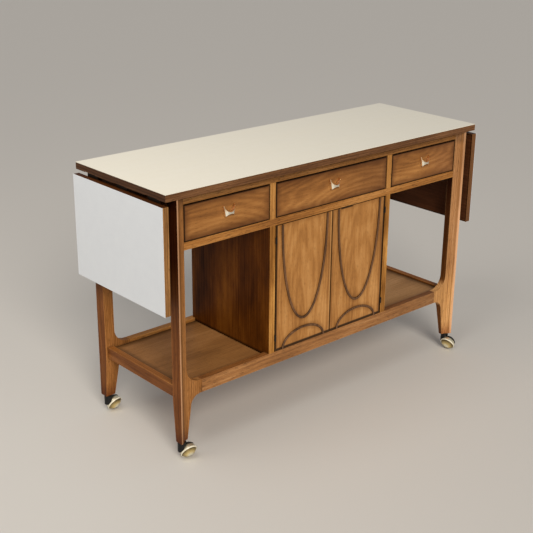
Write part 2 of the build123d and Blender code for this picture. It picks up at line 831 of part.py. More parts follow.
def main():
    make_top()
    make_leaves()
    make_legs()
    make_shelf()
    make_case()
    make_cabinet()
    make_doors()
    make_drawers()
    make_casters()
    os.makedirs("parts", exist_ok=True)
    for name, solids in nodes.items():
        export_step(Compound(children=solids), f"parts/{name}.step")


main()
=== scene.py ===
import json
from math import atan2, cos, pi, radians, sin

import bmesh
import bpy
from mathutils import Matrix, Vector


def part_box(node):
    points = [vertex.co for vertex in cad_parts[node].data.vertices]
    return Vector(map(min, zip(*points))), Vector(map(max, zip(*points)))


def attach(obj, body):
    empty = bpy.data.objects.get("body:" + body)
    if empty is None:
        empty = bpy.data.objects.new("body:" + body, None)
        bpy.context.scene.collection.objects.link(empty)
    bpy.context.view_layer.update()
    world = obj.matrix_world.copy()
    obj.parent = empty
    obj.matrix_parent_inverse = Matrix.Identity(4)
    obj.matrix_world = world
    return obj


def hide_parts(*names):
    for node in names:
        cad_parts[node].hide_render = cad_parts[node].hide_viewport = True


# A drop-leaf bar cart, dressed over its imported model. Metres, +Z up, front towards -Y.

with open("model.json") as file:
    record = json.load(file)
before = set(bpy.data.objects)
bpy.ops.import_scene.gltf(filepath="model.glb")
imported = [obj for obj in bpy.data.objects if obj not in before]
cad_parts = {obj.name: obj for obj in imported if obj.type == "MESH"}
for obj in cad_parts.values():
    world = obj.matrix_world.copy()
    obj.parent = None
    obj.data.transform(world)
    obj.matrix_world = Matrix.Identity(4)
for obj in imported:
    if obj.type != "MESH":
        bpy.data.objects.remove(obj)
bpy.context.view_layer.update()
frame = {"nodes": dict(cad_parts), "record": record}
scene = bpy.context.scene
mm = 0.001

# Sizes shared with the model
face_y = 183.1 * mm
leg_outer = 572.5 * mm
leg_arris = 199.1 * mm
bead_line = 12.3 * mm
rail_joint = 488 * mm
leaf_foot = 447.5 * mm
door_left = 1.25 * mm
door_right = 219.5 * mm
door_bottom = 223.5 * mm
door_top = 604.5 * mm
groove_width = 6.5 * mm
groove_depth = 4 * mm
hanging_arch_margin = 21.5 * mm
hanging_arch_height = 302 * mm
standing_arch_margin = 27 * mm
standing_arch_height = 48 * mm
caster_centre = (560 * mm, -181.1 * mm)
caster_trail = 17.5 * mm
caster_side_offset = 7.5 * mm
wheel_tilt = 32
ring_radius = 24.5 * mm
ring_width = 4.5 * mm
ring_depth = 2.5 * mm
ring_round = 1 * mm
dome_height = 10 * mm
axle_bore = 3.05 * mm
axle_reach = 6.1 * mm
hinge_rows = (-140.1 * mm, 0, 140.1 * mm)
hinge_screw_pitch = 16 * mm
case_plate_screws = (591 * mm, 581 * mm)
leaf_plate_screws = (731 * mm, 719 * mm)
plate_under = 752.2 * mm
leaf_plate_face = 599 * mm
stay_case_face = 567.3 * mm
stay_case_screw_y = 90.35 * mm
stay_leaf_screw_y = 111.35 * mm
stay_case_pivot = 663 * mm
stay_leaf_pivot = 635 * mm
stay_screw_pitch = 15 * mm
screw_radius = 2.9 * mm
screw_height = 1.1 * mm
swivel_angles = {"front_left": -6, "front_right": -79, "back_left": 9.5, "back_right": 35}

# Camera, solved from the cart's straight edges
camera_place = (-2.0736, -2.2250, 1.5266)
camera_azimuth = 41.671
camera_down = 20.687
camera_roll = 0.523
camera_lens = 71.07


def make_camera():
    """The camera that stood in front of the cart's left corner."""
    azimuth, down, roll = (radians(value) for value in (camera_azimuth, camera_down, camera_roll))
    forward = Vector((sin(azimuth) * cos(down), cos(azimuth) * cos(down), -sin(down)))
    right = Vector((cos(azimuth), -sin(azimuth), 0))
    up = right.cross(forward)
    right, up = right * cos(roll) + up * sin(roll), up * cos(roll) - right * sin(roll)
    data = bpy.data.cameras.new("corner_camera")
    data.sensor_width = 36
    data.lens = camera_lens
    data.clip_end = 60
    camera = bpy.data.objects.new("corner_camera", data)
    turn = Matrix((right, up, -forward)).transposed().to_4x4()
    camera.matrix_world = Matrix.Translation(camera_place) @ turn
    scene.collection.objects.link(camera)
    scene.camera = camera


# Scales of noise, in cycles a metre along and across the grain
ring_drift = (2.5, 16, 16)
coarse_fibres = (3.5, 95, 95)
fine_fibres = (9, 310, 310)
open_pores = (60, 1150, 1150)
slow_cloud = (3.5, 11, 11)
border_waver = (30, 30, 30)
glaze_waver = (26, 26, 26)
fine_share = 0.45

# Where a noise value mostly lies, and how far a face turns towards an axis before it counts
usual_range = (0.3, 0.7)
faces_axis = (0.75, 0.95)

# Marks on a post: a painted highlight along its arris, painted shade beside its bead, a dark line at its rail
# joint, and painted shadow where the leaf shades it
arris_highlight = (5 * mm, 8 * mm)
bead_shadow = (0.8 * mm, 2.6 * mm)
joint_shadow = (0.6 * mm, 1.6 * mm)
leaf_shade = (leaf_foot - 100 * mm, leaf_foot + 140 * mm)

# Marks on the doors' fronts: glaze beside the arches, painted shadow of the gaps round them, and a painted
# highlight near the left door's meeting edge
door_skin = (groove_depth + 1 * mm - face_y, groove_depth + 3 * mm - face_y)
glaze_width = 12 * mm
hinge_gap_shadow = (door_right - 5 * mm, door_right - 3 * mm)
foot_gap_shadow = (door_bottom + 6 * mm, door_bottom + 8.5 * mm)
meeting_gap_shadow = (door_left + 0.8 * mm, door_left + 2 * mm)
meeting_edge_highlight = -door_left - 5 * mm
meeting_edge_highlight_width = (1 * mm, 3 * mm)
top_gap_shadow_place = 58 * mm
top_gap_shadow_length = (22 * mm, 28 * mm)
top_gap_shadow_foot = (door_top - 4 * mm, door_top - 2.5 * mm)

# The height below which a drawer pull gets a painted highlight
pull_highlight_top = (683 * mm, 693 * mm)


# Node trees

number_socket = "NodeSocketFloat"
vector_socket = "NodeSocketVector"
shape_socket = "NodeSocketGeometry"
finish_socket = "NodeSocketMaterial"


def put(tree, kind, values=None, **settings):
    """Place one node. Values are numbers, colours or sockets for its inputs."""
    made = tree.nodes.new(kind)
    for name, value in settings.items():
        setattr(made, name, value)
    for key, value in (values or {}).items():
        if isinstance(value, bpy.types.NodeSocket):
            tree.links.new(value, made.inputs[key])
        else:
            made.inputs[key].default_value = value
    return made


def calc(tree, operation, *values):
    """One Math node's result."""
    return put(tree, "ShaderNodeMath", dict(enumerate(values)), operation=operation).outputs[0]


def times(tree, first, second):
    """Two numbers multiplied."""
    return calc(tree, "MULTIPLY", first, second)


def apart(tree, value, place):
    """How far a value is from a place."""
    return calc(tree, "ABSOLUTE", calc(tree, "SUBTRACT", value, place))


def vector_calc(tree, operation, *values):
    """One Vector Math node's result, which is a number for a length or a dot product."""
    made = put(tree, "ShaderNodeVectorMath", dict(enumerate(values)), operation=operation)
    return made.outputs["Value" if operation in ("LENGTH", "DOT_PRODUCT") else "Vector"]


def axes_of(tree, vector):
    """The three axes of a vector as numbers."""
    return put(tree, "ShaderNodeSeparateXYZ", {0: vector}).outputs


def vector_of(tree, x=0.0, y=0.0, z=0.0):
    """A vector from three numbers."""
    return put(tree, "ShaderNodeCombineXYZ", {0: x, 1: y, 2: z}).outputs[0]


def blend(tree, factor, first, second, mode="MIX"):
    """Two colours mixed."""
    values = {0: factor, 6: first, 7: second}
    return put(tree, "ShaderNodeMix", values, data_type="RGBA", blend_type=mode).outputs[2]


def span(tree, value, low, high, new_low=0.0, new_high=1.0):
    """A value's range moved to a new range, clamped."""
    values = {0: value, 1: low, 2: high, 3: new_low, 4: new_high}
    return put(tree, "ShaderNodeMapRange", values).outputs[0]


def stretched(tree, vector, scale):
    """A vector with each axis scaled."""
    return vector_calc(tree, "MULTIPLY", vector, scale)


def noise(tree, vector, scale, detail, roughness):
    """A noise value from 0 to 1, on axes scaled one by one."""
    vector = stretched(tree, vector, scale)
    values = {"Vector": vector, "Scale": 1.0, "Detail": detail, "Roughness": roughness}
    return put(tree, "ShaderNodeTexNoise", values).outputs["Fac"]


def object_vector(tree):
    """The cart's own coordinates."""
    return put(tree, "ShaderNodeTexCoord").outputs["Object"]


def new_group(name, kind, inputs, outputs):
    """An empty node group with its sockets, and its two end nodes."""
    tree = bpy.data.node_groups.new(name, kind)
    for label, socket, value in inputs:
        made = tree.interface.new_socket(label, in_out="INPUT", socket_type=socket)
        if value is not None:
            made.default_value = value
    for label, socket in outputs:
        tree.interface.new_socket(label, in_out="OUTPUT", socket_type=socket)
    return tree, tree.nodes.new("NodeGroupInput").outputs, tree.nodes.new("NodeGroupOutput").inputs


def new_mask_group(name, inputs, *masks):
    """An empty shader group that puts out masks, with its linking call."""
    outputs = [(mask, number_socket) for mask in masks]
    tree, given, result = new_group(name, "ShaderNodeTree", inputs, outputs)
    return tree, given, result, tree.links.new


def make_grain_group():
    """Wood grain along X: growth rings round a heart, fine fibres, pores and a slow cloud."""
    inputs = [
        ("Vector", vector_socket, None),
        ("Heart", vector_socket, None),
        ("Slope", number_socket, 0.1),
        ("Ring Spacing", number_socket, 9 * mm),
        ("Wander", number_socket, 3.0),
    ]
    tree, given, result, link = new_mask_group("wood_grain", inputs, "Rings", "Fibres", "Pores", "Cloud")
    from_heart = vector_calc(tree, "SUBTRACT", given["Vector"], given["Heart"])
    log_shape = vector_of(tree, given["Slope"], 1, 1)
    reach = vector_calc(tree, "LENGTH", stretched(tree, from_heart, log_shape))
    rings = calc(tree, "DIVIDE", reach, given["Ring Spacing"])
    drift = noise(tree, given["Vector"], ring_drift, 3, 0.5)
    turn = times(tree, calc(tree, "MULTIPLY_ADD", drift, given["Wander"], rings), 2 * pi)
    link(calc(tree, "MULTIPLY_ADD", calc(tree, "SINE", turn), 0.5, 0.5), result["Rings"])
    coarse = times(tree, noise(tree, given["Vector"], coarse_fibres, 3, 0.6), 1 - fine_share)
    fine = noise(tree, given["Vector"], fine_fibres, 3, 0.6)
    link(calc(tree, "MULTIPLY_ADD", fine, fine_share, coarse), result["Fibres"])
    link(span(tree, noise(tree, given["Vector"], open_pores, 1, 0.5), 0.6, 0.68), result["Pores"])
    link(noise(tree, given["Vector"], slow_cloud, 3, 0.55), result["Cloud"])
    return tree


def make_border_group():
    """A mask that is 1 along a board's edges and fades to 0 inside it."""
    inputs = [
        ("Vector", vector_socket, None),
        ("Half Size", vector_socket, None),
        ("Fade", number_socket, 20 * mm),
        ("Ragged", number_socket, 12 * mm),
    ]
    tree, given, result, link = new_mask_group("board_border", inputs, "Mask")
    folded = vector_calc(tree, "ABSOLUTE", given["Vector"])
    across, deep, up = axes_of(tree, vector_calc(tree, "SUBTRACT", given["Half Size"], folded))
    nearest = calc(tree, "MINIMUM", calc(tree, "MINIMUM", across, deep), up)
    waver = calc(tree, "SUBTRACT", noise(tree, given["Vector"], border_waver, 2, 0.5), 0.5)
    nearest = calc(tree, "MULTIPLY_ADD", waver, given["Ragged"], nearest)
    link(span(tree, calc(tree, "DIVIDE", nearest, given["Fade"]), 0, 1, 1, 0), result["Mask"])
    return tree


def make_facing_group():
    """Masks for the faces that look towards the cart's two ends, and for those that look up, where woods get
    painted shade.
    """
    tree, _, result, link = new_mask_group("facing", [], "Ends", "Tops")
    across, _, up = axes_of(tree, put(tree, "ShaderNodeTexCoord").outputs["Normal"])
    link(span(tree, calc(tree, "ABSOLUTE", across), *faces_axis), result["Ends"])
    link(span(tree, up, *faces_axis), result["Tops"])
    return tree


def make_post_marks_group():
    """Masks for a carved post: a painted highlight along its arris, painted shade beside its bead with a dark
    line at its rail joint, and its part behind the leaf, for painted shadow.
    """
    tree, _, result, link = new_mask_group("post_marks", [], "Highlight", "Lines", "Behind Leaf")
    folded = vector_calc(tree, "ABSOLUTE", object_vector(tree))
    across, _, up = axes_of(tree, folded)
    from_arris = vector_calc(tree, "SUBTRACT", folded, (leg_outer, leg_arris, 0))
    reach = vector_calc(tree, "LENGTH", stretched(tree, from_arris, (1, 1, 0)))
    link(span(tree, reach, *arris_highlight, 1, 0), result["Highlight"])
    link(span(tree, up, *leaf_shade), result["Behind Leaf"])
    at_bead = times(tree, span(tree, apart(tree, reach, bead_line), *bead_shadow, 1, 0), 0.7)
    at_joint = span(tree, apart(tree, across, rail_joint), *joint_shadow, 1, 0)
    link(calc(tree, "MAXIMUM", at_bead, at_joint), result["Lines"])
    return tree


def make_door_marks_group():
    """Masks for a routed door: glaze beside its arches, painted shadow of the gaps round it, and a painted
    highlight near the meeting edge.
    """
    tree, _, result, link = new_mask_group("door_marks", [], "Glaze", "Gaps", "Highlight")
    place = object_vector(tree)
    folded = vector_calc(tree, "ABSOLUTE", place)
    half_door = (door_right - door_left) / 2
    nearest = None
    arches = ((door_top, half_door - hanging_arch_margin, hanging_arch_height),
              (door_bottom, half_door - standing_arch_margin, standing_arch_height))
    for level, half_width, rise in arches:
        shrink = (1 / half_width, 0, 1 / rise)
        unit = vector_calc(tree, "SUBTRACT", folded, (door_left + half_door, 0, level))
        unit = stretched(tree, unit, shrink)
        reach = vector_calc(tree, "LENGTH", unit)
        slope = vector_calc(tree, "LENGTH", stretched(tree, unit, shrink))
        away = calc(tree, "DIVIDE", times(tree, apart(tree, reach, 1), reach), slope)
        nearest = calc(tree, "MINIMUM", nearest, away) if nearest else away
    across, deep, up = axes_of(tree, place)
    in_front = span(tree, deep, *door_skin, 1, 0)
    ragged = span(tree, noise(tree, place, glaze_waver, 3, 0.6), 0.35, 0.65, 0.35, 1)
    glaze = span(tree, nearest, groove_width / 2, groove_width / 2 + glaze_width, 1, 0)
    link(times(tree, times(tree, glaze, in_front), ragged), result["Glaze"])
    # Painted highlight near the left door's meeting edge
    lighter_edge = span(tree, apart(tree, across, meeting_edge_highlight), *meeting_edge_highlight_width, 1, 0)
    link(times(tree, lighter_edge, in_front), result["Highlight"])
    # Painted shadow of the gap along a stretch of the right door's top
    at_top_gap_shadow = span(tree, apart(tree, across, top_gap_shadow_place), *top_gap_shadow_length, 1, 0)
    at_top_gap_shadow = times(tree, span(tree, up, *top_gap_shadow_foot), at_top_gap_shadow)
    # Painted shadow of the gaps at the hinge side, the foot and the meeting edge
    from_middle = calc(tree, "ABSOLUTE", across)
    gap_shadows = calc(tree, "MAXIMUM", span(tree, from_middle, *hinge_gap_shadow), span(tree, up, *foot_gap_shadow, 1, 0))
    gap_shadows = calc(tree, "MAXIMUM", gap_shadows, span(tree, from_middle, *meeting_gap_shadow, 0.7, 0))
    gap_shadows = calc(tree, "MAXIMUM", gap_shadows, at_top_gap_shadow)
    link(times(tree, gap_shadows, in_front), result["Gaps"])
    return tree


def make_edge_group():
    """A mask that is 1 on outer and inner edges and 0 on open faces."""
    tree, given, result, link = new_mask_group("edge_mask", [("Radius", number_socket, 2 * mm)], "Mask")
    rounded = put(tree, "ShaderNodeBevel", {0: given["Radius"]}, samples=4).outputs[0]
    true_normal = put(tree, "ShaderNodeNewGeometry").outputs["Normal"]
    turn = vector_calc(tree, "DOT_PRODUCT", rounded, true_normal)
    link(span(tree, turn, 0.995, 0.86), result["Mask"])
    return tree


def make_crevice_group():
    """A mask from ambient occlusion that is 1 deep in corners and creases, where shade falls and dirt
    gathers.
    """
    tree, given, result, link = new_mask_group("crevice_mask", [("Distance", number_socket, 12 * mm)], "Mask")
    open_sky = put(tree, "ShaderNodeAmbientOcclusion", {"Distance": given["Distance"]}, samples=4)
    link(span(tree, open_sky.outputs["AO"], 0.75, 0.15), result["Mask"])
    return tree


grain_group = make_grain_group()
border_group = make_border_group()
facing_group = make_facing_group()
post_marks_group = make_post_marks_group()
door_marks_group = make_door_marks_group()
edge_group = make_edge_group()
crevice_group = make_crevice_group()


def use_group(tree, group, **values):
    """One of the shared groups, placed with its own values."""
    values = {name.replace("_", " "): value for name, value in values.items()}
    return put(tree, "ShaderNodeGroup", values, node_tree=group).outputs


def linear(red, green, blue):
    """A display colour of 0 to 255 a channel as the linear colour that shaders take."""
    channels = [channel / 255 for channel in (red, green, blue)]
    return [c / 12.92 if c <= 0.04045 else ((c + 0.055) / 1.055) ** 2.4 for c in channels] + [1.0]


def shaded(colour, amount):
    """A display colour with each channel scaled, as a linear colour."""
    return linear(*[min(255, channel * amount) for channel in colour])


def new_material(name, **constants):
    """A material with its shader, whose constant sockets are set directly."""
    material = bpy.data.materials.new(name)
    material.use_nodes = True
    tree = material.node_tree
    shader = tree.nodes["Principled BSDF"]
    for label, value in constants.items():
        shader.inputs[label.replace("_", " ")].default_value = value
    return material, tree, shader.inputs


def set_bump(tree, shader, height, strength=0.1, depth=0.05 * mm):
    """Fine relief from a height."""
    bump = put(tree, "ShaderNodeBump", {"Strength": strength, "Distance": depth, "Height": height})
    tree.links.new(bump.outputs[0], shader["Normal"])


def set_ramp(tree, value, *stops):
    """A colour ramp's result from three stops, each a position and a display colour."""
    ramp = put(tree, "ShaderNodeValToRGB", {0: value})
    marks = ramp.color_ramp.elements
    first, middle, last = stops
    marks[0].position, marks[0].color = first[0], linear(*first[1])
    marks[1].position, marks[1].color = last[0], linear(*last[1])
    marks.new(middle[0]).color = linear(*middle[1])
    return ramp.outputs[0]


grain_turns = {"across": (0, 0, 0), "upright": (0, 90, 0), "deep": (0, 0, -90)}
leaf_shade_tone = (136, 110, 84)
arris_highlight_tone = (214, 164, 124)


def shade_border(tree, colour, place, size, dark, border, fade, gap_shadow, gap_shadow_width):
    """A board's colour, darker towards its edges and with a thin painted shadow line along them."""
    half = size / 2
    half[list(half).index(min(half))] = 1.0
    rim = use_group(tree, border_group, Vector=place, Half_Size=half, Fade=fade * mm)["Mask"]
    colour = blend(tree, times(tree, rim, border), colour, linear(*dark))
    line = use_group(tree, border_group, Vector=place, Half_Size=half, Fade=gap_shadow_width * mm, Ragged=1 * mm)
    return blend(tree, times(tree, line["Mask"], gap_shadow), colour, shaded(dark, 0.25))


def mark_door(tree, colour, dark, light):
    """A routed door's colour with its glaze, a painted highlight near its meeting edge and painted shadow of
    the gaps round it.
    """
    found = use_group(tree, door_marks_group)
    colour = blend(tree, times(tree, found["Glaze"], 0.6), colour, linear(*dark))
    colour = blend(tree, times(tree, found["Highlight"], 0.5), colour, linear(*light))
    return blend(tree, times(tree, found["Gaps"], 0.9), colour, shaded(dark, 0.25))


def mark_post(tree, colour, dark, ends, cloud):
    """A carved post's colour with painted shadow from the leaf, its dark lines and a painted highlight on its
    arris.
    """
    found = use_group(tree, post_marks_group)
    behind_leaf = times(tree, ends, found["Behind Leaf"])
    colour = blend(tree, behind_leaf, colour, linear(*leaf_shade_tone), "MULTIPLY")
    front = calc(tree, "SUBTRACT", 1, ends)
    colour = blend(tree, times(tree, found["Lines"], front), colour, linear(*dark))
    # Painted highlight along the arris, on the front faces only
    lit_arris = times(tree, found["Highlight"], span(tree, cloud, 0.35, 0.6, 0.35, 0.95))
    return blend(tree, times(tree, lit_arris, front), colour, linear(*arris_highlight_tone))


def lacquered_wood(name, run, tones, board=None, heart=(0.4, 0.03, 0.12), slope=0.03, spacing=6, wander=3.0,
                   rings=0.3, fibres=0.45, cloud=0.3, pores=0.45, border=0.0, fade=22, gap_shadow=0.0,
                   gap_shadow_width=3.4, edge_wear_and_highlight=0.35, gloss=0.42, sheen=0.14, end_face_shade=None, top_face_shade=None,
                   tone_bands=(), marks=None):
    """Stained and lacquered wood whose grain runs across, upright or deep.

    The border darkens a board towards its edges: a toned finish on the drawers and doors, painted shade
    along the rails on the shelf. A thin painted shadow line runs along the edges, for the shade in the gaps
    round a board. The end and top face tones paint shade on the faces that look to the cart's ends and up. A
    tone band comes in between two places along an axis of the cart, in mm: painted shadow or painted
    reflection in some, and in the rest a darker or lighter stretch of wood. The marks are those of a door or
    a post.
    """
    material, tree, shader = new_material(name, Specular_IOR_Level=sheen)
    dark, middle, light = tones
    low, high = (Vector(corner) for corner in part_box(board)) if board else (Vector(), Vector())
    place = vector_calc(tree, "SUBTRACT", object_vector(tree), (low + high) / 2)
    turned = {"Vector": place, "Rotation": [radians(angle) for angle in grain_turns[run]]}
    vector = put(tree, "ShaderNodeMapping", turned).outputs[0]
    grain = use_group(tree, grain_group, Vector=vector, Heart=heart, Slope=slope, Ring_Spacing=spacing * mm,
                      Wander=wander)
    fibre = span(tree, grain["Fibres"], *usual_range)
    tone = calc(tree, "MULTIPLY_ADD", grain["Rings"], rings, 0.5 - (rings + fibres + cloud) / 2)
    tone = calc(tree, "MULTIPLY_ADD", fibre, fibres, tone)
    tone = calc(tree, "MULTIPLY_ADD", span(tree, grain["Cloud"], *usual_range), cloud, tone)
    colour = set_ramp(tree, tone, (0.1, dark), (0.5, middle), (0.9, light))
    pore_colour = shaded(dark, 0.6)
    colour = blend(tree, times(tree, grain["Pores"], pores), colour, pore_colour)
    if border:
        colour = shade_border(tree, colour, place, high - low, dark, border, fade, gap_shadow, gap_shadow_width)
    facing = use_group(tree, facing_group)
    # Painted shade on the faces that look to the cart's ends and up
    if end_face_shade:
        colour = blend(tree, facing["Ends"], colour, linear(*end_face_shade), "MULTIPLY")
    if top_face_shade:
        colour = blend(tree, facing["Tops"], colour, linear(*top_face_shade), "MULTIPLY")
    axes = axes_of(tree, object_vector(tree))
    # Tone bands along an axis: painted shadow or painted reflection in some, darker or lighter stretches of
    # wood in the rest
    for axis, start, end, band_tone in tone_bands:
        amount = span(tree, axes["xyz".index(axis)], start * mm, end * mm)
        colour = blend(tree, amount, colour, linear(*band_tone), "MULTIPLY")
    if marks == "door":
        colour = mark_door(tree, colour, dark, light)
    if marks == "post":
        colour = mark_post(tree, colour, dark, facing["Ends"], grain["Cloud"])
    # Darker in corners and creases: painted shade, with wax and dust
    crevice = use_group(tree, crevice_group)["Mask"]
    colour = blend(tree, times(tree, crevice, 0.85), colour, pore_colour)
    # Lighter edges: partly wear, partly a painted highlight
    edge = use_group(tree, edge_group, Radius=1.6 * mm)["Mask"]
    lighter_edge = times(tree, edge, span(tree, grain["Cloud"], 0.4, 0.65, edge_wear_and_highlight * 0.3, edge_wear_and_highlight))
    colour = blend(tree, lighter_edge, colour, shaded(light, 1.15))
    tree.links.new(colour, shader["Base Color"])
    tree.links.new(span(tree, grain["Fibres"], *usual_range, gloss + 0.1, gloss), shader["Roughness"])
    height = calc(tree, "MULTIPLY_ADD", grain["Pores"], -0.6, grain["Fibres"])
    set_bump(tree, shader, height, 0.25, 0.15 * mm)
    return material


def laminate(name, base, streak, gloss):
    """Plastic laminate printed with a faint linen, streaked along the cart."""
    material, tree, shader = new_material(name, Coat_Weight=0.15, Coat_Roughness=0.12)
    vector = object_vector(tree)
    warp = noise(tree, vector, (30, 800, 800), 2, 0.6)
    weft = noise(tree, vector, (800, 30, 30), 2, 0.6)
    weave = times(tree, calc(tree, "ADD", warp, weft), 0.5)
    mottle = noise(tree, vector, (4, 22, 22), 4, 0.6)
    tone = span(tree, mottle, *usual_range, 0, 0.4)
    tone = calc(tree, "MULTIPLY_ADD", span(tree, weave, 0.35, 0.65), 0.45, tone)
    colour = blend(tree, tone, linear(*streak), linear(*base))
    # Darker near corners: painted shade, with dust
    crevice = use_group(tree, crevice_group, Distance=8 * mm)["Mask"]
    colour = blend(tree, times(tree, crevice, 0.3), colour, linear(150, 130, 100))
    tree.links.new(colour, shader["Base Color"])
    tree.links.new(span(tree, mottle, *usual_range, gloss + 0.06, gloss - 0.04), shader["Roughness"])
    set_bump(tree, shader, weave, 0.12)
    return material


def metal(name, base, tarnish, gloss, patches=0.35, polished=None):
    """Plated or cast metal, duller where dirt gathers, with a painted highlight low on a drawer pull."""
    material, tree, shader = new_material(name, Metallic=1.0)
    vector = object_vector(tree)
    cloud = noise(tree, vector, (70, 70, 70), 3, 0.6)
    fine = noise(tree, vector, (900, 900, 250), 2, 0.6)
    colour = blend(tree, span(tree, cloud, 0.45, 0.75, 0, patches), linear(*base), linear(*tarnish))
    crevice = use_group(tree, crevice_group, Distance=4 * mm)["Mask"]
    colour = blend(tree, times(tree, crevice, 0.7), colour, shaded(tarnish, 0.4))
    # Painted highlight on the low part of a drawer pull
    if polished:
        low_part = span(tree, axes_of(tree, vector)[2], *pull_highlight_top, 1, 0)
        colour = blend(tree, low_part, colour, linear(*polished))
    tree.links.new(colour, shader["Base Color"])
    rough = calc(tree, "MULTIPLY_ADD", span(tree, fine, 0.35, 0.7), 0.1, gloss)
    tree.links.new(calc(tree, "MULTIPLY_ADD", cloud, 0.1, rough), shader["Roughness"])
    set_bump(tree, shader, fine)
    return material


def spun_brass(name, centre, base, rim, gloss):
    """Polished brass with a painted highlight in the middle of a dome and a painted dark reflection towards
    its rim.
    """
    material, tree, shader = new_material(name, Metallic=1.0)
    reach = put(tree, "ShaderNodeAttribute", attribute_name="reach").outputs["Fac"]
    cloud = noise(tree, object_vector(tree), (80, 80, 80), 3, 0.6)
    reach = calc(tree, "MULTIPLY_ADD", cloud, 0.3, calc(tree, "SUBTRACT", reach, 0.15))
    # Painted highlight in the dome's middle and painted dark reflection towards its rim
    colour = set_ramp(tree, reach, (0.2, centre), (0.52, base), (0.92, rim))
    tree.links.new(colour, shader["Base Color"])
    tree.links.new(calc(tree, "MULTIPLY_ADD", cloud, 0.2, gloss), shader["Roughness"])
    set_bump(tree, shader, noise(tree, object_vector(tree), (900, 900, 900), 2, 0.6))
    return material


def enamel(name, base, dust, gloss, coat=0.5):
    """Hard gloss paint or moulded nylon with a little dust in its corners."""
    material, tree, shader = new_material(name, Coat_Weight=coat, Coat_Roughness=0.1,
                                          Specular_IOR_Level=0.3)
    vector = object_vector(tree)
    cloud = noise(tree, vector, (90, 90, 90), 3, 0.6)
    fine = noise(tree, vector, (1200, 1200, 1200), 2, 0.5)
    edge = times(tree, use_group(tree, edge_group, Radius=1 * mm)["Mask"], 0.25)
    dusty = calc(tree, "MAXIMUM", times(tree, span(tree, cloud, 0.45, 0.8), 0.35), edge)
    tree.links.new(blend(tree, dusty, linear(*base), linear(*dust)), shader["Base Color"])
    tree.links.new(calc(tree, "MULTIPLY_ADD", cloud, 0.2, gloss), shader["Roughness"])
    set_bump(tree, shader, fine)
    return material


# Finishes

# Wood tones: dark, middle and light
frame_tones = ((106, 63, 26), (164, 109, 52), (200, 145, 84))
shelf_rail_tones = ((104, 66, 36), (160, 110, 64), (198, 148, 98))
# Paler tones for the front right post: a painted highlight for the light its cove catches
lit_post_tones = ((138, 93, 50), (196, 144, 88), (230, 180, 124))
post_tones = ((94, 56, 26), (148, 97, 49), (188, 132, 78))
# Lighter tones for the drawer dividers: a painted highlight
lit_divider_tones = ((122, 76, 34), (182, 127, 64), (214, 162, 98))
# The right leaf's tones are a darker copy of the left's: painted shade
rim_tones = {
    "left": ((88, 54, 26), (138, 96, 52), (174, 126, 76)),
    "right": ((66, 38, 18), (110, 72, 40), (146, 102, 62)),
}
# Very dark tones for the leaves' inner faces: painted shade, as they hang in the shade under the top
shaded_leaf_back_tones = ((44, 22, 10), (76, 42, 22), (104, 62, 36))
lipping_tones = ((70, 42, 22), (106, 70, 42), (138, 98, 64))
# Darker tones for the top's end lippings: painted shade
shaded_end_lipping_tones = ((48, 28, 14), (72, 44, 25), (98, 66, 40))
drawer_tones = ((90, 52, 24), (150, 99, 50), (192, 136, 76))
door_tones = ((114, 70, 30), (171, 118, 62), (206, 154, 94))
cabinet_tones = ((88, 50, 16), (160, 108, 50), (216, 160, 86))
shelf_tones = ((92, 56, 28), (156, 108, 60), (192, 140, 88))
back_tones = ((92, 56, 28), (146, 100, 54), (184, 132, 80))
groove_tones = ((62, 42, 28), (94, 66, 44), (124, 88, 60))
maple_tones = ((150, 112, 74), (186, 148, 104), (208, 174, 132))

# Tones that paint shade on a face, and tone bands that come in along an axis
end_shade = (200, 178, 156)
inner_shade = (140, 118, 92)
# Painted shadow under the top's overhang
shadow_under_top = ("z", 712, 728, (214, 216, 224))
dark_foot = ("z", 100, 56, (190, 162, 150))
above_rail = ("z", 215, 300, (212, 204, 208))
drawer_tone_bands = {
    "left": [("z", 664, 640, (226, 222, 220))],
    "middle": [("x", -20, 190, (226, 224, 232)), ("z", 700, 724, (228, 224, 220))],
    "right": [("x", 380, 480, (244, 244, 262))],
}

# Where each panel's growth rings centre, in metres from its middle
post_heart = (0.3, 0.05, 0.14)
drawer_hearts = {"left": (-0.06, 0, -0.05), "middle": (0.12, 0, -0.06), "right": (-0.03, 0, 0.04)}
door_hearts = {"left": (-0.1, 0, 0.01), "right": (-0.16, 0, -0.01)}

rail_wood = lacquered_wood("rail_walnut", "across", frame_tones, rings=0.12, fibres=0.5, pores=0.75,
                           end_face_shade=end_shade, tone_bands=[shadow_under_top])
shelf_rail_wood = lacquered_wood("shelf_rail_walnut", "across", shelf_rail_tones, rings=0.1, fibres=0.5,
                                 pores=0.8, top_face_shade=(206, 186, 160),
                                 tone_bands=[("x", 120, 420, (216, 214, 216))])


def post_wood(corner):
    """The walnut of one post. The front right one has paler tones in front, a painted highlight for the light
    its cove catches, and darker sides, painted shade.
    """
    lit_corner = corner == "front_right"
    return lacquered_wood(
        f"{corner}_post_walnut", "upright", lit_post_tones if lit_corner else post_tones, heart=post_heart, rings=0.2,
        pores=0.65, edge_wear_and_highlight=0.5, sheen=0.1, end_face_shade=inner_shade if lit_corner else end_shade,
        tone_bands=[shadow_under_top, dark_foot, above_rail] if lit_corner else [shadow_under_top, dark_foot], marks="post",
    )


post_woods = {corner: post_wood(corner) for corner in swivel_angles}
divider_wood = lacquered_wood("divider_walnut", "upright", lit_divider_tones, heart=post_heart, rings=0.2,
                              pores=0.6)
side_rail_wood = lacquered_wood("side_rail_walnut", "deep", frame_tones, end_face_shade=(192, 172, 158), edge_wear_and_highlight=0.8,
                                top_face_shade=(208, 192, 176))
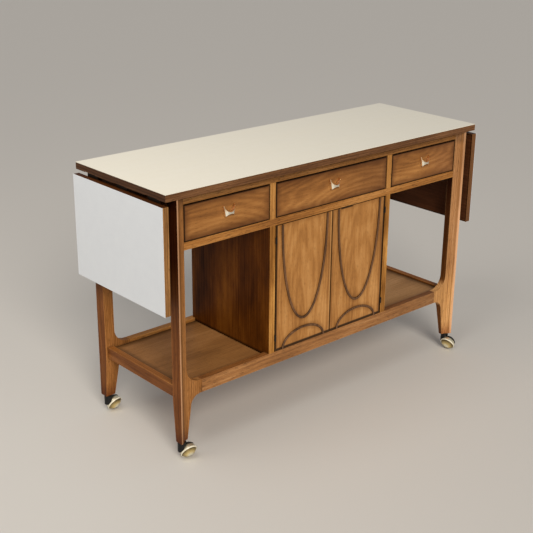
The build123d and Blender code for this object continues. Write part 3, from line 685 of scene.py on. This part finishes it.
# Painted shade on the faces that look to the ends, and painted shadow on the top edges under the top's
# overhang
leaf_rim_woods = {
    side: lacquered_wood(f"{side}_leaf_rim_walnut", "deep", tones, end_face_shade=inner_shade,
                         top_face_shade=(130, 104, 84))
    for side, tones in rim_tones.items()
}
leaf_side_woods = {
    side: lacquered_wood(f"{side}_leaf_side_walnut", "upright", tones, fibres=0.5, pores=0.7)
    for side, tones in rim_tones.items()
}
leaf_veneer = lacquered_wood("leaf_inner_veneer", "deep", shaded_leaf_back_tones, rings=0.08, fibres=0.3, cloud=0.4,
                             sheen=0.08)
lipping_wood = lacquered_wood("lipping_walnut", "across", lipping_tones, rings=0.15, fibres=0.55, pores=0.8)
shaded_end_lipping_wood = lacquered_wood("end_lipping_walnut", "deep", shaded_end_lipping_tones)
drawer_veneers = {
    bay: lacquered_wood(f"{bay}_drawer_veneer", "across", drawer_tones, f"{bay}_drawer_front", heart,
                        slope=0.32, spacing=14, wander=5, tone_bands=drawer_tone_bands[bay], rings=0.14,
                        fibres=0.2, cloud=0.45, border=0.75, gap_shadow=0.95, edge_wear_and_highlight=0.05)
    for bay, heart in drawer_hearts.items()
}
door_veneers = {
    side: lacquered_wood(f"{side}_door_veneer", "upright", door_tones, f"{side}_door", heart, slope=0.2,
                         spacing=16, wander=5, rings=0.12, fibres=0.35, cloud=0.45, border=0.45, fade=14,
                         edge_wear_and_highlight=0.1, marks="door")
    for side, heart in door_hearts.items()
}
# Painted shade on the sides' end faces, and painted shadow low on them where they stand on the shelf
cabinet_veneer = lacquered_wood("cabinet_side_veneer", "upright", cabinet_tones, rings=0.12, fibres=0.3,
                                cloud=0.75, sheen=0.05, end_face_shade=(144, 117, 76),
                                tone_bands=[("z", 223, 214, (88, 80, 80))])
# Painted shade along the shelf's edges beside the rails with a painted shadow line at them, and a painted
# reflection that lightens it in the right bay
shelf_veneer = lacquered_wood("shelf_veneer", "across", shelf_tones, "shelf_panel", rings=0.06, fibres=0.18,
                              cloud=0.3, border=0.4, fade=60, gap_shadow=0.75, gap_shadow_width=24,
                              tone_bands=[("x", 225, 260, (270, 286, 312))])
back_veneer = lacquered_wood("case_back_veneer", "across", back_tones, rings=0.1, fibres=0.3, cloud=0.4)
cabinet_back_veneer = lacquered_wood("cabinet_back_veneer", "upright", back_tones, rings=0.1, fibres=0.35,
                                     cloud=0.35)
# Dark stain in the door grooves, partly painted shade
groove_stain = lacquered_wood("groove_stain", "upright", groove_tones, gloss=0.4)
plain_wood = lacquered_wood("drawer_maple", "deep", maple_tones, gloss=0.5)
top_laminate = laminate("top_laminate", (236, 231, 216), (228, 222, 206), 0.32)
leaf_laminate = laminate("leaf_laminate", (219, 223, 227), (213, 217, 222), 0.34)
cast_brass = metal("cast_brass", (252, 216, 170), (190, 138, 92), 0.2, polished=(255, 248, 228))
bright_brass = metal("bright_brass", (255, 247, 218), (206, 172, 116), 0.4, patches=0.3)
dome_brass = spun_brass("dome_brass", (255, 253, 230), (238, 216, 152), (80, 58, 28), 0.2)
tread = enamel("ivory_tread", (230, 223, 200), (146, 130, 102), 0.28)
black_enamel = enamel("black_enamel", (8, 8, 9), (30, 28, 25), 0.35, coat=0.0)
zinc = metal("zinc_plate", (176, 172, 162), (112, 106, 94), 0.34)
dark_steel = metal("dark_steel", (70, 62, 54), (44, 34, 26), 0.36)


# Pieces

bodies = frame["record"]["behaviour"]["bodies"]
body_of_node = {node: body for body, members in bodies.items() for node in members}


def flatten(shape):
    """Join neighbouring faces that lie in one plane."""
    bmesh.ops.dissolve_limit(shape, angle_limit=radians(0.1), verts=shape.verts[:], edges=shape.edges[:])


def whole_mesh(node):
    """A copy of a CAD node's mesh with its corners merged and its flat faces whole again."""
    shape = bmesh.new()
    shape.from_mesh(frame["nodes"][node].data)
    bmesh.ops.remove_doubles(shape, verts=shape.verts[:], dist=0.002 * mm)
    flatten(shape)
    joined = [face for face in shape.faces if all(len(edge.link_faces) > 2 for edge in face.edges)]
    bmesh.ops.delete(shape, geom=joined, context="FACES_ONLY")
    flatten(shape)
    for face in shape.faces:
        face.smooth = True
    mesh = bpy.data.meshes.new(node)
    shape.to_mesh(mesh)
    shape.free()
    for layer in [layer.name for layer in mesh.attributes if layer.name == "custom_normal"]:
        mesh.attributes.remove(mesh.attributes[layer])
    return mesh


def add_piece(name, mesh, body, slot, *finishes):
    """Put a finished mesh in the scene as a piece that rides on a body."""
    mesh.materials.clear()
    for finish in finishes:
        mesh.materials.append(finish)
    piece = bpy.data.objects.new(name, mesh)
    scene.collection.objects.link(piece)
    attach(piece, body)
    return piece


def ease_edges(piece, radius):
    """Small rounds on a piece's edges, with its flats kept flat."""
    bevel = piece.modifiers.new("eased_edges", "BEVEL")
    bevel.width = radius
    bevel.segments = 2
    bevel.limit_method = "ANGLE"
    bevel.angle_limit = radians(30)
    flats = piece.modifiers.new("flat_faces", "WEIGHTED_NORMAL")
    flats.keep_sharp = True


def worked_piece(node, name, slot, finish, radius, side_finish=None, side_axis=0):
    """A CAD node's shape with eased edges and its finish, and another finish on the sides facing an axis."""
    mesh = whole_mesh(node)
    piece = add_piece(name, mesh, body_of_node[node], slot, finish, *([side_finish] if side_finish else []))
    for face in mesh.polygons:
        face.material_index = 1 if side_finish and abs(face.normal[side_axis]) > 0.9 else 0
    ease_edges(piece, radius)
    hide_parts(node)


def make_woodwork():
    """Every visible board and post, with eased edges."""
    for corner in swivel_angles:
        worked_piece(f"{corner}_leg", f"{corner}_carved_leg", "walnut", post_woods[corner], 0.8 * mm)
    boards = [
        ("front_shelf_rail", "front_lower_rail", shelf_rail_wood, 0.8),
        ("back_shelf_rail", "back_lower_rail", rail_wood, 0.8),
        ("shelf_end_rails", "end_lower_rails", side_rail_wood, 0.8),
        ("case_front_rails", "drawer_case_rails", rail_wood, 0.6),
        ("drawer_dividers", "drawer_case_stiles", divider_wood, 0.6),
    ]
    for node, name, finish, radius in boards:
        worked_piece(node, name, "walnut", finish, radius * mm)
    # The lippings' end faces get the darker walnut: painted shade
    worked_piece("top_lippings", "top_edge_strips", "walnut", lipping_wood, 0.8 * mm,
                 side_finish=shaded_end_lipping_wood)
    sheets = [
        ("case_end_panels", "drawer_case_ends", side_rail_wood, 0.6),
        ("case_back", "drawer_case_back", back_veneer, 0.6),
        ("shelf_panel", "bottle_shelf", shelf_veneer, 0.4),
        ("cabinet_sides", "cabinet_side_panels", cabinet_veneer, 0.8),
        ("cabinet_back", "cabinet_back_panel", cabinet_back_veneer, 0.4),
    ]
    for node, name, finish, radius in sheets:
        worked_piece(node, name, "veneered_board", finish, radius * mm)
    for side in ("left", "right"):
        worked_piece(f"{side}_door", f"{side}_routed_door", "veneered_board", door_veneers[side], 0.7 * mm)
        worked_piece(f"{side}_leaf_lippings", f"{side}_leaf_edge_strips", "walnut", leaf_rim_woods[side],
                     0.8 * mm, side_finish=leaf_side_woods[side], side_axis=1)
    for bay in ("left", "middle", "right"):
        worked_piece(f"{bay}_drawer_front", f"{bay}_drawer_face", "veneered_board", drawer_veneers[bay],
                     1.2 * mm)
        worked_piece(f"{bay}_drawer_pull", f"{bay}_cast_pull", "brass", cast_brass, 0.9 * mm)


def finish_tree(tree, shape, finish, result):
    """A geometry tree's last steps: its instances made real and their finish set."""
    whole = put(tree, "GeometryNodeRealizeInstances", {0: shape}).outputs[0]
    done = put(tree, "GeometryNodeSetMaterial", {"Geometry": whole, "Material": finish}).outputs[0]
    tree.links.new(done, result["Geometry"])
    return tree


def shape_from_tree(name, tree, start=None, **sizes):
    """The plain mesh that a Geometry Nodes tree makes from named sizes, on a start mesh if it takes one."""
    holder = bpy.data.objects.new(name, start or bpy.data.meshes.new(name))
    scene.collection.objects.link(holder)
    modifier = holder.modifiers.new(name, "NODES")
    modifier.node_group = tree
    for socket in tree.interface.items_tree:
        label = socket.name.replace(" ", "_")
        if socket.in_out == "INPUT" and label in sizes:
            modifier[socket.identifier] = sizes[label]
    graph = bpy.context.evaluated_depsgraph_get()
    mesh = bpy.data.meshes.new_from_object(holder.evaluated_get(graph))
    holder.modifiers.remove(modifier)
    bpy.data.objects.remove(holder)
    shape = bmesh.new()
    shape.from_mesh(mesh)
    bmesh.ops.recalc_face_normals(shape, faces=shape.faces[:])
    for face in shape.faces:
        face.smooth = True
    shape.to_mesh(mesh)
    shape.free()
    return mesh


# Door grooves

lining_points = 97
lining_sides = 20
lining_overlap = 0.1 * mm
rim_depth = 0.8 * mm
hollow_depth = groove_depth - 1.5 * mm


def make_lining_tree():
    """A dark lining that follows an arch, a stain with painted shade: half an ellipse, with a hollow section
    that fills the groove.
    """
    names = ("Centre X", "Level Z", "Face Y", "Half Width", "Rise", "Groove Width", "Rim Depth",
             "Hollow Depth", "Full Depth")
    inputs = [(name, number_socket, None) for name in names] + [("Finish", finish_socket, None)]
    outputs = [("Geometry", shape_socket)]
    tree, given, result = new_group("groove_lining", "GeometryNodeTree", inputs, outputs)
    line = put(tree, "GeometryNodeCurvePrimitiveLine", {"End": (1, 0, 0)}).outputs[0]
    path = put(tree, "GeometryNodeResampleCurve", {"Curve": line, "Count": lining_points}).outputs[0]
    turn = times(tree, put(tree, "GeometryNodeSplineParameter").outputs["Factor"], pi)
    across = times(tree, calc(tree, "COSINE", turn), given["Half Width"])
    along = times(tree, calc(tree, "SINE", turn), given["Rise"])
    moved = {"Geometry": path, "Position": vector_of(tree, across, along)}
    path = put(tree, "GeometryNodeSetPosition", moved).outputs[0]
    path = put(tree, "GeometryNodeSetCurveNormal", {"Curve": path}, mode="Z_UP").outputs[0]
    circle = {"Resolution": lining_sides, "Radius": 1}
    circle = put(tree, "GeometryNodeCurvePrimitiveCircle", circle).outputs[0]
    side, rise, _ = axes_of(tree, put(tree, "GeometryNodeInputPosition").outputs[0])
    hollow = times(tree, calc(tree, "MAXIMUM", rise, 0.0), given["Hollow Depth"])
    full = calc(tree, "SQRT", calc(tree, "MAXIMUM", times(tree, rise, -1), 0.0))
    full = times(tree, full, given["Full Depth"])
    depth = calc(tree, "ADD", calc(tree, "ADD", hollow, full), given["Rim Depth"])
    half_groove = times(tree, times(tree, side, 0.5), given["Groove Width"])
    section = vector_of(tree, half_groove, times(tree, depth, -1))
    profile = put(tree, "GeometryNodeSetPosition", {"Geometry": circle, "Position": section}).outputs[0]
    swept = {"Curve": path, "Profile Curve": profile, "Fill Caps": True}
    bar = put(tree, "GeometryNodeCurveToMesh", swept).outputs[0]
    spot = vector_of(tree, given["Centre X"], given["Face Y"], given["Level Z"])
    placed = {"Geometry": bar, "Translation": spot, "Rotation": (pi / 2, 0, 0)}
    stood = put(tree, "GeometryNodeTransform", placed).outputs[0]
    return finish_tree(tree, stood, given["Finish"], result)


def make_groove_linings():
    """Dark, hollow bottoms for the two arches routed in each door: a darker stain, partly painted shade."""
    tree = make_lining_tree()
    half_door = (door_right - door_left) / 2
    for side, sign in (("left", -1), ("right", 1)):
        centre = sign * (door_left + half_door)
        arches = [
            ("hanging", door_top - rim_depth, half_door - hanging_arch_margin, -hanging_arch_height),
            ("standing", door_bottom + rim_depth, half_door - standing_arch_margin, standing_arch_height),
        ]
        for arch, level, half_width, rise in arches:
            name = f"{side}_{arch}_groove"
            mesh = shape_from_tree(
                name, tree, Centre_X=centre, Level_Z=level, Face_Y=-face_y, Half_Width=half_width, Rise=rise,
                Groove_Width=groove_width + lining_overlap, Rim_Depth=rim_depth, Hollow_Depth=hollow_depth,
                Full_Depth=groove_depth - rim_depth, Finish=groove_stain,
            )
            add_piece(name, mesh, f"{side}_door", "veneered_board", groove_stain)


# Caster wheels

wheel_steps = 72
dome_steps = 18
round_steps = 5
dome_step = 0.6 * mm


def turned_shape(name, profile, place, steps=wheel_steps):
    """A closed shape turned round Z from radius and height pairs, then put in place."""
    shape = bmesh.new()
    reach = shape.verts.layers.float.new("reach")
    rings = []
    for radius, height in profile:
        turns = [2 * pi * step / steps for step in range(steps)] if radius else [0]
        rings.append([shape.verts.new((radius * cos(turn), radius * sin(turn), height)) for turn in turns])
        for vert in rings[-1]:
            vert[reach] = radius / ring_radius
    pairs = list(zip(rings, rings[1:]))
    if len(rings[0]) > 1:
        pairs.append((rings[-1], rings[0]))
    for one, other in pairs:
        for step in range(steps):
            corners = [one[step % len(one)], one[(step + 1) % len(one)],
                       other[(step + 1) % len(other)], other[step % len(other)]]
            shape.faces.new(list(dict.fromkeys(corners)))
    bmesh.ops.transform(shape, matrix=place, verts=shape.verts[:])
    bmesh.ops.recalc_face_normals(shape, faces=shape.faces[:])
    for face in shape.faces:
        face.smooth = True
    mesh = bpy.data.meshes.new(name)
    shape.to_mesh(mesh)
    shape.free()
    return mesh


def arc(centre, radius, start, end, steps):
    """Points on an arc, each a radius and a height, with its angles in radians."""
    turns = [start + (end - start) * step / steps for step in range(steps + 1)]
    return [(centre[0] + radius * cos(turn), centre[1] + radius * sin(turn)) for turn in turns]


def make_wheels():
    """The dome and the ivory tread of each ball caster."""
    tilt = radians(wheel_tilt)
    front = ring_width / 2
    ball_height = (ring_radius - ring_round) * cos(tilt) + (front - ring_round) * sin(tilt) + ring_round
    rim = ring_radius - ring_depth
    dome_rim = rim - dome_step
    dome_radius = (dome_rim ** 2 + dome_height ** 2) / (2 * dome_height)
    centre = (0, front + dome_height - dome_radius)
    half_turn = atan2(dome_rim, dome_radius - dome_height)
    dome = arc(centre, dome_radius, pi / 2, pi / 2 - half_turn, dome_steps)
    dome[0] = (0, front + dome_height)
    dome += [(dome_rim, front - dome_step), (rim, front - dome_step), (rim, -front)]
    dome += [(axle_bore, -front), (axle_bore, axle_reach), (0, axle_reach)]
    outer = ring_radius - ring_round
    band = [(rim, -front)] + arc((outer, ring_round - front), ring_round, -pi / 2, 0, round_steps)
    band += arc((outer, front - ring_round), ring_round, 0, pi / 2, round_steps) + [(rim, front)]
    for corner, angle in swivel_angles.items():
        x = caster_centre[0] * (1 if "right" in corner else -1)
        y = caster_centre[1] * (1 if "front" in corner else -1)
        place = Matrix.Translation((x, y, 0)) @ Matrix.Rotation(radians(angle), 4, "Z")
        place @= Matrix.Translation((caster_trail, -caster_side_offset, ball_height))
        place @= Matrix.Rotation(pi / 2 + tilt, 4, "X")
        body = f"{corner}_wheel"
        parts = [("dome", dome, dome_brass), ("tread", band, tread)]
        for part, profile, finish in parts:
            name = f"{corner}_caster_{part}"
            piece = add_piece(name, turned_shape(name, profile, place), body, "brass", finish)
            piece.modifiers.new("flat_faces", "WEIGHTED_NORMAL").keep_sharp = True
            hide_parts(f"{corner}_caster_wheel")


def paint_nodes():
    """Finishes for the CAD nodes that keep their own shape."""
    finishes = {
        "top_laminate": top_laminate,
        "top_core": plain_wood,
        "case_bottom": back_veneer,
        "drawer_runners": plain_wood,
        "door_catches": zinc,
        "leaf_hardware_on_case": dark_steel,
        "door_hinges_case_half": black_enamel,
        "caster_sockets": zinc,
    }
    for side in ("left", "right"):
        finishes[f"{side}_leaf_board"] = leaf_veneer
        finishes[f"{side}_leaf_laminate"] = leaf_laminate
        finishes[f"{side}_leaf_hardware"] = dark_steel
        finishes[f"{side}_stay_lower_arms"] = zinc
        finishes[f"{side}_stay_upper_arms"] = zinc
        finishes[f"{side}_door_hinge_halves"] = black_enamel
    for bay in ("left", "middle", "right"):
        finishes[f"{bay}_drawer_box"] = plain_wood
    for corner in swivel_angles:
        finishes[f"{corner}_caster_stem"] = black_enamel
        finishes[f"{corner}_caster_hood"] = bright_brass
    for node, finish in finishes.items():
        for place in frame["nodes"][node].material_slots:
            place.material = finish


# Screws of the leaf hardware, whose crown and slot are shares of the head's radius

screw_sides = 28
screw_crown = 0.72
slot_length = 3
slot_width = 0.3


def make_screw_tree():
    """Slotted screw heads on a mesh of points, each facing its point's way with its slot at its own turn."""
    inputs = [
        ("Points", shape_socket, None),
        ("Radius", number_socket, None),
        ("Height", number_socket, None),
        ("Finish", finish_socket, None),
    ]
    outputs = [("Geometry", shape_socket)]
    tree, given, result = new_group("screw_heads", "GeometryNodeTree", inputs, outputs)
    radius = given["Radius"]
    height = given["Height"]
    crown = times(tree, radius, screw_crown)
    head = {"Vertices": screw_sides, "Radius Top": crown, "Radius Bottom": radius, "Depth": height}
    head = put(tree, "GeometryNodeMeshCone", head).outputs["Mesh"]
    slot = vector_of(tree, times(tree, radius, slot_length), times(tree, radius, slot_width), height)
    slot = put(tree, "GeometryNodeMeshCube", {"Size": slot}).outputs[0]
    lifted = {"Geometry": slot, "Translation": vector_of(tree, z=height)}
    slot = put(tree, "GeometryNodeTransform", lifted).outputs[0]
    cut = {"Mesh 1": head, "Mesh 2": slot}
    cut = put(tree, "GeometryNodeMeshBoolean", cut, operation="DIFFERENCE").outputs[0]
    facing = {"Name": "facing"}
    facing = put(tree, "GeometryNodeInputNamedAttribute", facing, data_type="FLOAT_VECTOR").outputs[0]
    stood = put(tree, "FunctionNodeAlignRotationToVector", {"Vector": facing}, axis="Z").outputs[0]
    half_turn = {"Min": 0.0, "Max": pi, "Seed": 4}
    turn = put(tree, "FunctionNodeRandomValue", half_turn, data_type="FLOAT").outputs["Value"]
    turned = {"Rotation": stood, "Rotate By": vector_of(tree, z=turn)}
    turned = put(tree, "FunctionNodeRotateRotation", turned, rotation_space="LOCAL").outputs[0]
    placed = {"Points": given["Points"], "Instance": cut, "Rotation": turned}
    heads = put(tree, "GeometryNodeInstanceOnPoints", placed).outputs[0]
    return finish_tree(tree, heads, given["Finish"], result)


def screw_points(places):
    """A mesh of bare points, each with the way its screw faces."""
    shape = bmesh.new()
    facing = shape.verts.layers.float_vector.new("facing")
    for place, way in places:
        shape.verts.new(place)[facing] = way
    mesh = bpy.data.meshes.new("screw_points")
    shape.to_mesh(mesh)
    shape.free()
    return mesh


def make_screws():
    """Screws in the fixed and the moving plates of the leaf hinges and the stays."""
    tree = make_screw_tree()
    sizes = {"Radius": screw_radius, "Height": screw_height, "Finish": zinc}
    offsets = (-hinge_screw_pitch, 0, hinge_screw_pitch)
    rows = [(row + offset, offset == 0) for row in hinge_rows for offset in offsets]
    on_case = []
    for side, sign in (("left", -1), ("right", 1)):
        on_leaf = []
        for y, inner in rows:
            x = case_plate_screws[0 if inner else 1]
            z = leaf_plate_screws[0 if inner else 1]
            on_case.append(((sign * x, y, plate_under), (0, 0, -1)))
            on_leaf.append(((sign * leaf_plate_face, y, z), (-sign, 0, 0)))
        for end in (-stay_screw_pitch, stay_screw_pitch):
            for half in (-1, 1):
                case_place = (sign * stay_case_face, half * stay_case_screw_y, stay_case_pivot + end)
                leaf_place = (sign * leaf_plate_face, half * stay_leaf_screw_y, stay_leaf_pivot + end)
                on_case.append((case_place, (sign, 0, 0)))
                on_leaf.append((leaf_place, (-sign, 0, 0)))
        name = f"{side}_leaf_screws"
        mesh = shape_from_tree(name, tree, screw_points(on_leaf), **sizes)
        add_piece(name, mesh, f"{side}_leaf", "steel", zinc)
    name = "case_hardware_screws"
    mesh = shape_from_tree(name, tree, screw_points(on_case), **sizes)
    add_piece(name, mesh, body_of_node["leaf_hardware_on_case"], "steel", zinc)


# Stage

floor_half = 14
room_light = 0.32
light_aim = Vector((0, 0, 0.4))


def make_stage():
    """Pale floor, soft key from the front left and a fill all round."""
    floor_mesh = bpy.data.meshes.new("floor")
    corners = [(x * floor_half, y * floor_half, 0) for x, y in ((-1, -1), (1, -1), (1, 1), (-1, 1))]
    floor_mesh.from_pydata(corners, [], [(0, 1, 2, 3)])
    floor = bpy.data.objects.new("floor", floor_mesh)
    scene.collection.objects.link(floor)
    floor_finish = new_material("pale_floor", Roughness=0.6, Base_Color=linear(206, 202, 196))[0]
    floor_mesh.materials.append(floor_finish)
    world = bpy.data.worlds.new("soft_room")
    world.use_nodes = True
    backdrop = world.node_tree.nodes["Background"].inputs
    backdrop[0].default_value = linear(224, 226, 230)
    backdrop[1].default_value = room_light
    scene.world = world
    key = bpy.data.lights.new("key", "SUN")
    key.angle = radians(28)
    glow = bpy.data.lights.new("near_glow", "AREA")
    glow.size = 1.6
    lights = [
        (key, (-2.4, -4.6, 3.6), 2.55, (255, 248, 238)),
        (glow, (-1.4, -0.2, 2.4), 26, (255, 250, 242)),
    ]
    for data, place, power, colour in lights:
        data.energy = power
        data.color = linear(*colour)[:3]
        light = bpy.data.objects.new(data.name, data)
        turn = (light_aim - Vector(place)).to_track_quat("-Z", "Y")
        light.matrix_world = Matrix.Translation(place) @ turn.to_matrix().to_4x4()
        scene.collection.objects.link(light)
    scene.view_settings.view_transform = "Standard"


make_camera()
make_woodwork()
make_groove_linings()
make_wheels()
make_screws()
paint_nodes()
make_stage()
